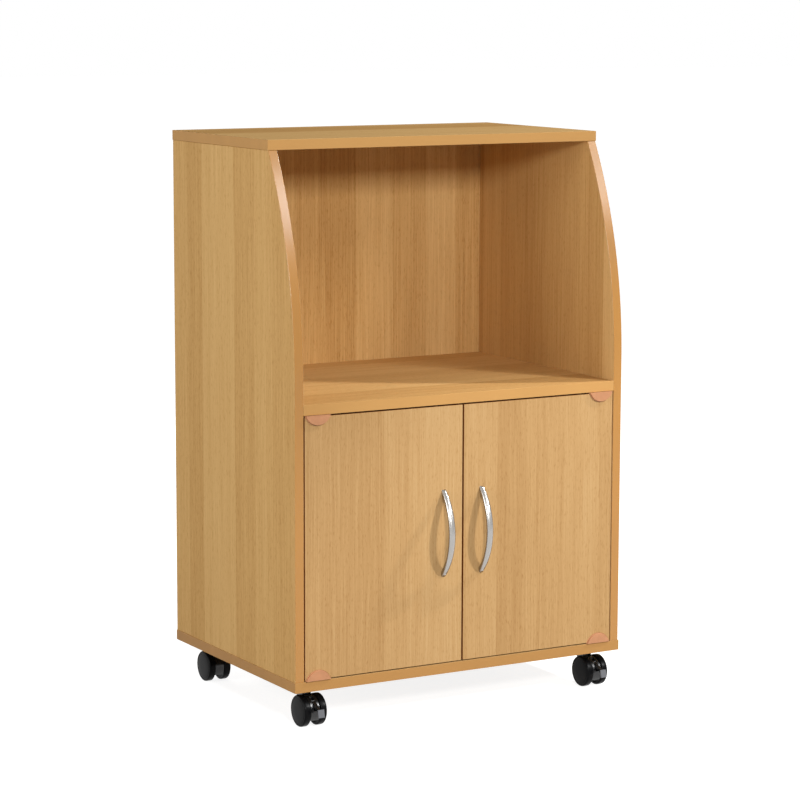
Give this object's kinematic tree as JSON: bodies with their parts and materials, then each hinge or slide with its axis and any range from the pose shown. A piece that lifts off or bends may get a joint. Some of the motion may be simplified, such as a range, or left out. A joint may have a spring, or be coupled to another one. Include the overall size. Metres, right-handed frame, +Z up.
{
  "type": "microwave cart",
  "caption": "Wheeled kitchen cart with an open microwave bay over a cupboard with hinged doors, bow handles and braked swivel casters",
  "frame": {"origin": "on the floor, in the middle of the cart's overall width and of its overall depth with the handles", "axes": "+Z up, +X to the right seen from the front, and the doors face -Y"},
  "size_m": [0.596, 0.449, 0.9],
  "materials": {
    "beech_board": "beech-grain melamine on chipboard, satin",
    "back_board": "beech-grain printed fibreboard, satin",
    "handle_satin": "satin silver",
    "hinge_plastic": "beech-coloured moulded plastic, satin",
    "zinc_steel": "bright zinc plate",
    "catch_plastic": "black moulded plastic",
    "caster_black": "black moulded nylon, half gloss",
    "pedal_grey": "dark grey moulded plastic, half gloss"
  },
  "bodies": {
    "root": {"top_panel": "beech_board", "bottom_panel": "beech_board", "middle_shelf": "beech_board", "back_panel": "back_board", "left_side_panel": "beech_board", "right_side_panel": "beech_board", "left_front_side_screw": "zinc_steel", "left_rear_side_screw": "zinc_steel", "right_front_side_screw": "zinc_steel", "right_rear_side_screw": "zinc_steel", "left_upper_hinge_bush": "hinge_plastic", "left_lower_hinge_bush": "hinge_plastic", "right_upper_hinge_bush": "hinge_plastic", "right_lower_hinge_bush": "hinge_plastic", "left_catch": "catch_plastic", "right_catch": "catch_plastic", "front_left_caster_tee_nut": "zinc_steel", "front_left_caster_stem": "zinc_steel", "front_right_caster_tee_nut": "zinc_steel", "front_right_caster_stem": "zinc_steel", "rear_left_caster_tee_nut": "zinc_steel", "rear_left_caster_stem": "zinc_steel", "rear_right_caster_tee_nut": "zinc_steel", "rear_right_caster_stem": "zinc_steel"},
    "left_door": {"left_door": "beech_board", "left_door_upper_hinge_cap": "hinge_plastic", "left_door_lower_hinge_cap": "hinge_plastic", "left_door_upper_hinge_pin": "zinc_steel", "left_door_lower_hinge_pin": "zinc_steel", "left_handle": "handle_satin", "left_handle_upper_screw": "zinc_steel", "left_handle_lower_screw": "zinc_steel", "left_strike_plate": "zinc_steel"},
    "right_door": {"right_door": "beech_board", "right_door_upper_hinge_cap": "hinge_plastic", "right_door_lower_hinge_cap": "hinge_plastic", "right_door_upper_hinge_pin": "zinc_steel", "right_door_lower_hinge_pin": "zinc_steel", "right_handle": "handle_satin", "right_handle_upper_screw": "zinc_steel", "right_handle_lower_screw": "zinc_steel", "right_strike_plate": "zinc_steel"},
    "front_left_swivel": {"front_left_caster_hood": "caster_black", "front_left_caster_axle": "zinc_steel"},
    "front_left_brake": {"front_left_caster_brake_pedal": "pedal_grey"},
    "front_left_wheel_a": {"front_left_caster_left_wheel": "caster_black"},
    "front_left_wheel_b": {"front_left_caster_right_wheel": "caster_black"},
    "front_right_swivel": {"front_right_caster_hood": "caster_black", "front_right_caster_axle": "zinc_steel"},
    "front_right_brake": {"front_right_caster_brake_pedal": "pedal_grey"},
    "front_right_wheel_a": {"front_right_caster_left_wheel": "caster_black"},
    "front_right_wheel_b": {"front_right_caster_right_wheel": "caster_black"},
    "rear_left_swivel": {"rear_left_caster_hood": "caster_black", "rear_left_caster_axle": "zinc_steel"},
    "rear_left_wheel_a": {"rear_left_caster_left_wheel": "caster_black"},
    "rear_left_wheel_b": {"rear_left_caster_right_wheel": "caster_black"},
    "rear_right_swivel": {"rear_right_caster_hood": "caster_black", "rear_right_caster_axle": "zinc_steel"},
    "rear_right_wheel_a": {"rear_right_caster_left_wheel": "caster_black"},
    "rear_right_wheel_b": {"rear_right_caster_right_wheel": "caster_black"}
  },
  "joints": [
    {"name": "left_door_hinge", "type": "hinge", "parent": "root", "child": "left_door", "pos_m": [-0.2575, -0.1865, 0.282], "axis": [0, 0, -1], "range_deg": [0, 130]},
    {"name": "right_door_hinge", "type": "hinge", "parent": "root", "child": "right_door", "pos_m": [0.2575, -0.1865, 0.282], "axis": [0, 0, 1], "range_deg": [0, 130]},
    {"name": "front_left_caster_swivel", "type": "hinge", "parent": "root", "child": "front_left_swivel", "pos_m": [-0.26, -0.1515, 0.045], "axis": [0, 0, 1], "continuous": true},
    {"name": "front_right_caster_swivel", "type": "hinge", "parent": "root", "child": "front_right_swivel", "pos_m": [0.26, -0.1515, 0.045], "axis": [0, 0, 1], "continuous": true},
    {"name": "rear_left_caster_swivel", "type": "hinge", "parent": "root", "child": "rear_left_swivel", "pos_m": [-0.26, 0.1805, 0.045], "axis": [0, 0, 1], "continuous": true},
    {"name": "rear_right_caster_swivel", "type": "hinge", "parent": "root", "child": "rear_right_swivel", "pos_m": [0.26, 0.1805, 0.045], "axis": [0, 0, 1], "continuous": true},
    {"name": "front_left_wheel_a_spin", "type": "hinge", "parent": "front_left_swivel", "child": "front_left_wheel_a", "pos_m": [-0.27425, -0.1685, 0.02479], "axis": [1, 0, 0], "continuous": true},
    {"name": "front_left_wheel_b_spin", "type": "hinge", "parent": "front_left_swivel", "child": "front_left_wheel_b", "pos_m": [-0.24575, -0.1685, 0.02479], "axis": [1, 0, 0], "continuous": true},
    {"name": "front_right_wheel_a_spin", "type": "hinge", "parent": "front_right_swivel", "child": "front_right_wheel_a", "pos_m": [0.24575, -0.1685, 0.02479], "axis": [1, 0, 0], "continuous": true},
    {"name": "front_right_wheel_b_spin", "type": "hinge", "parent": "front_right_swivel", "child": "front_right_wheel_b", "pos_m": [0.27425, -0.1685, 0.02479], "axis": [1, 0, 0], "continuous": true},
    {"name": "rear_left_wheel_a_spin", "type": "hinge", "parent": "rear_left_swivel", "child": "rear_left_wheel_a", "pos_m": [-0.27425, 0.1635, 0.02479], "axis": [1, 0, 0], "continuous": true},
    {"name": "rear_left_wheel_b_spin", "type": "hinge", "parent": "rear_left_swivel", "child": "rear_left_wheel_b", "pos_m": [-0.24575, 0.1635, 0.02479], "axis": [1, 0, 0], "continuous": true},
    {"name": "rear_right_wheel_a_spin", "type": "hinge", "parent": "rear_right_swivel", "child": "rear_right_wheel_a", "pos_m": [0.24575, 0.1635, 0.02479], "axis": [1, 0, 0], "continuous": true},
    {"name": "rear_right_wheel_b_spin", "type": "hinge", "parent": "rear_right_swivel", "child": "rear_right_wheel_b", "pos_m": [0.27425, 0.1635, 0.02479], "axis": [1, 0, 0], "continuous": true},
    {"name": "front_left_brake_press", "type": "hinge", "parent": "front_left_swivel", "child": "front_left_brake", "pos_m": [-0.26, -0.1805, 0.04], "axis": [1, 0, 0], "range_deg": [0, 15]},
    {"name": "front_right_brake_press", "type": "hinge", "parent": "front_right_swivel", "child": "front_right_brake", "pos_m": [0.26, -0.1805, 0.04], "axis": [1, 0, 0], "range_deg": [0, 15]}
  ]
}
